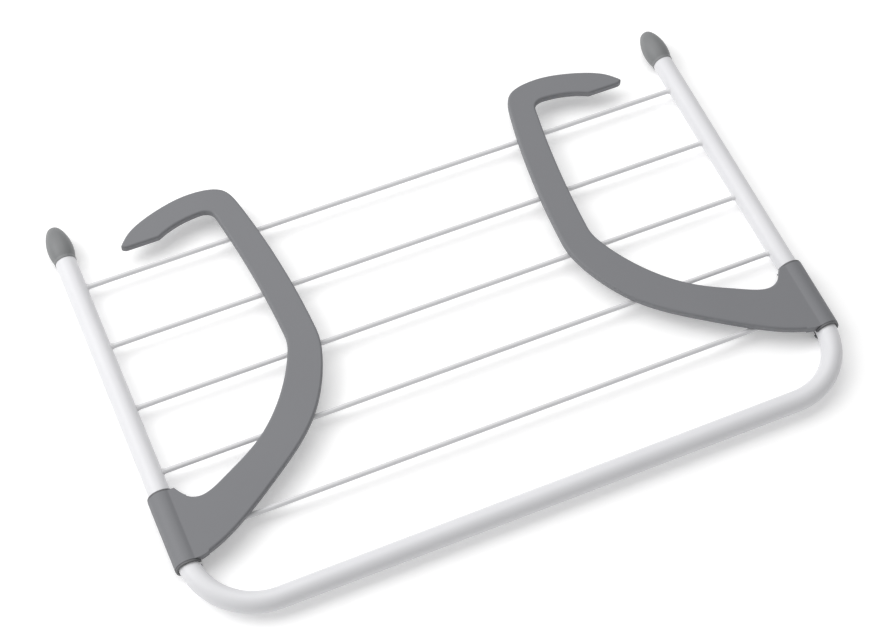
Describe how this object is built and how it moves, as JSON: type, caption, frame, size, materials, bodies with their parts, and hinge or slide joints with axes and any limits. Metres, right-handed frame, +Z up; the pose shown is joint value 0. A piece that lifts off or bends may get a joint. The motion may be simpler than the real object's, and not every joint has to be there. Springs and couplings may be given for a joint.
{
  "type": "hook-on folding drying rack",
  "caption": "Flat wire drying rack on a bent tube frame, with two fold-flat hook arms that turn and slide on its legs to hang it over a radiator, rail or wall.",
  "frame": {"origin": "middle of the front rail's centre line", "axes": "+X along the front rail to the right-hand leg, +Y from the front rail to the capped leg ends, +Z up, out of the side that the folded arms lie on"},
  "size_m": [0.5244, 0.361, 0.0201],
  "materials": {
    "coated_tube": "glossy white powder coat on steel tube",
    "coated_wire": "white plastic-coated steel wire",
    "arm_plastic": "fine-grained matte grey moulding",
    "cap_plastic": "satin grey moulding",
    "liner_plastic": "dark satin bearing plastic"
  },
  "bodies": {
    "frame": {"frame_tube": "coated_tube", "wire_1": "coated_wire", "wire_2": "coated_wire", "wire_3": "coated_wire", "wire_4": "coated_wire", "wire_5": "coated_wire", "end_cap_left": "cap_plastic", "end_cap_right": "cap_plastic"},
    "liner_left": {"grip_liner_left": "liner_plastic"},
    "liner_right": {"grip_liner_right": "liner_plastic"},
    "arm_left": {"hook_arm_left": "arm_plastic"},
    "arm_right": {"hook_arm_right": "arm_plastic"}
  },
  "joints": [
    {"name": "left_sleeve_slide", "type": "slide", "parent": "frame", "child": "liner_left", "axis": [0, 1, 0], "range_m": [0, 0.214]},
    {"name": "left_arm_fold", "type": "hinge", "parent": "liner_left", "child": "arm_left", "pos_m": [-0.252, 0.075, 0], "axis": [0, -1, 0], "range_deg": [0, 90]},
    {"name": "right_sleeve_slide", "type": "slide", "parent": "frame", "child": "liner_right", "axis": [0, 1, 0], "range_m": [0, 0.214]},
    {"name": "right_arm_fold", "type": "hinge", "parent": "liner_right", "child": "arm_right", "pos_m": [0.252, 0.075, 0], "axis": [0, 1, 0], "range_deg": [0, 90]}
  ]
}
